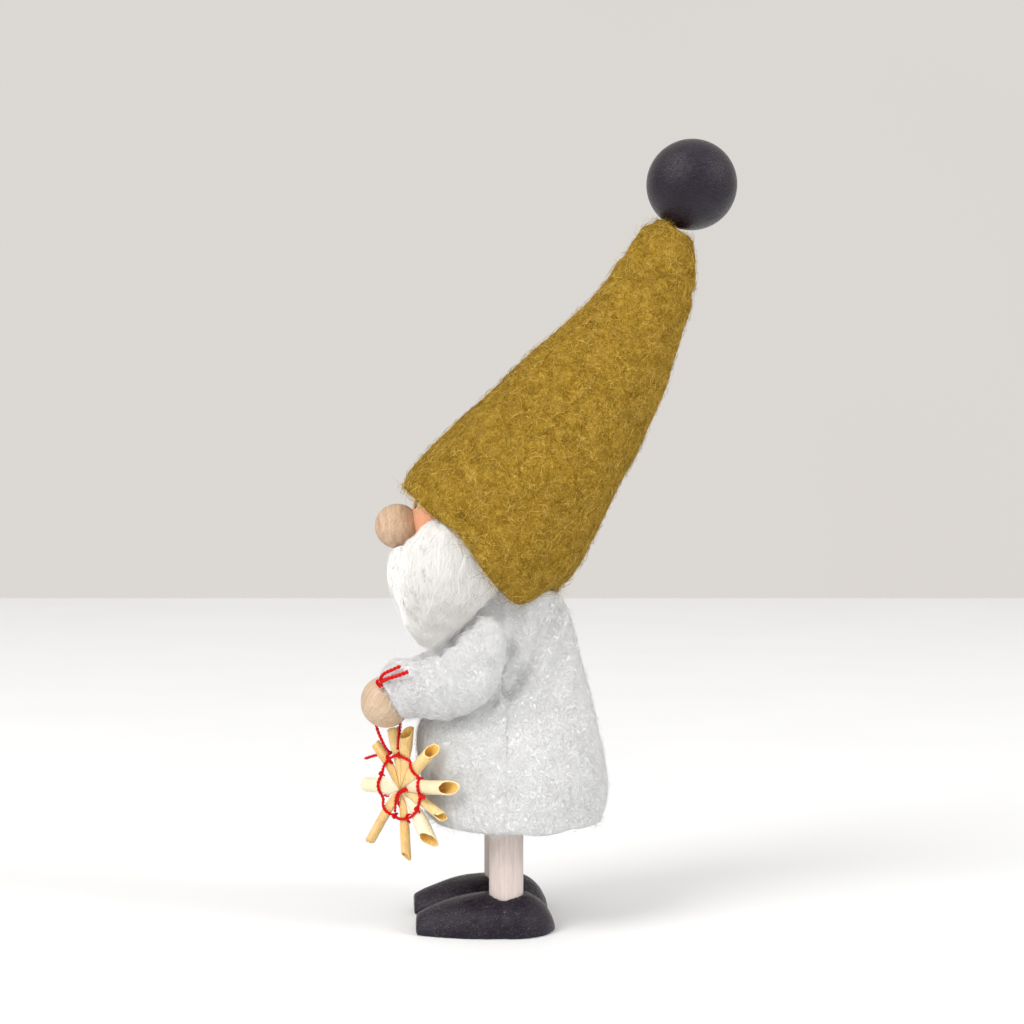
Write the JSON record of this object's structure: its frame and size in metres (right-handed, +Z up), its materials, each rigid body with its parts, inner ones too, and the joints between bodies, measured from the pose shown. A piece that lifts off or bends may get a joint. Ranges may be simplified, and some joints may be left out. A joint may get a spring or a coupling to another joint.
{
  "type": "tomte gnome figurine",
  "caption": "Standing felt and wood gnome in a tall leaning hat with a ball, wool beard and plain coat, holding a straw star that hangs from a red thread between its hands.",
  "frame": {"origin": "on the ground under the middle of the figure's overall box", "axes": "+Z up, the gnome looks along -Y, +X is its own left-hand side"},
  "size_m": [0.0404, 0.0757, 0.1577],
  "materials": {
    "black_paint": "satin black paint on turned wood",
    "whitewashed_wood": "thin white wash, matt, grain showing",
    "plain_wood": "bare turned wood",
    "face_wood": "smooth wood with a pale skin tint and painted eyes and cheeks",
    "bead_wood": "bare turned beech, fine grain",
    "beard_wool": "combed wool locks",
    "mustard_felt": "thick mottled wool felt",
    "white_felt": "soft mottled wool felt",
    "steel_wire": "soft annealed wire",
    "straw": "natural split-free rye straw with a waxy skin",
    "red_thread": "two-ply twisted cotton"
  },
  "bodies": {
    "figure": {"shoe_left": "black_paint", "shoe_right": "black_paint", "leg_left": "whitewashed_wood", "leg_right": "whitewashed_wood", "torso": "plain_wood", "neck_dowel": "plain_wood", "head": "face_wood", "nose": "bead_wood", "beard": "beard_wool", "hat": "mustard_felt", "hat_peg": "plain_wood", "hat_ball": "black_paint", "coat_front": "white_felt", "coat_back": "white_felt"},
    "arms": {"arm_wire": "steel_wire", "sleeve_left": "white_felt", "sleeve_right": "white_felt", "hand_left": "bead_wood", "hand_right": "bead_wood", "thread_knot": "red_thread"},
    "star": {"straw_1": "straw", "straw_2": "straw", "straw_3": "straw", "straw_4": "straw", "straw_5": "straw", "ring_thread": "red_thread", "centre_binding": "red_thread", "hanging_thread": "red_thread"}
  },
  "joints": [
    {"name": "arms_raise", "type": "hinge", "parent": "figure", "child": "arms", "pos_m": [0, -0.013, 0.0582], "axis": [-1, 0, 0], "range_deg": [0, 10]},
    {"name": "star_swing", "type": "hinge", "parent": "arms", "child": "star", "pos_m": [0.00153, -0.03275, 0.045], "axis": [-0.995, 0, -0.1], "range_deg": [0, 45]}
  ]
}
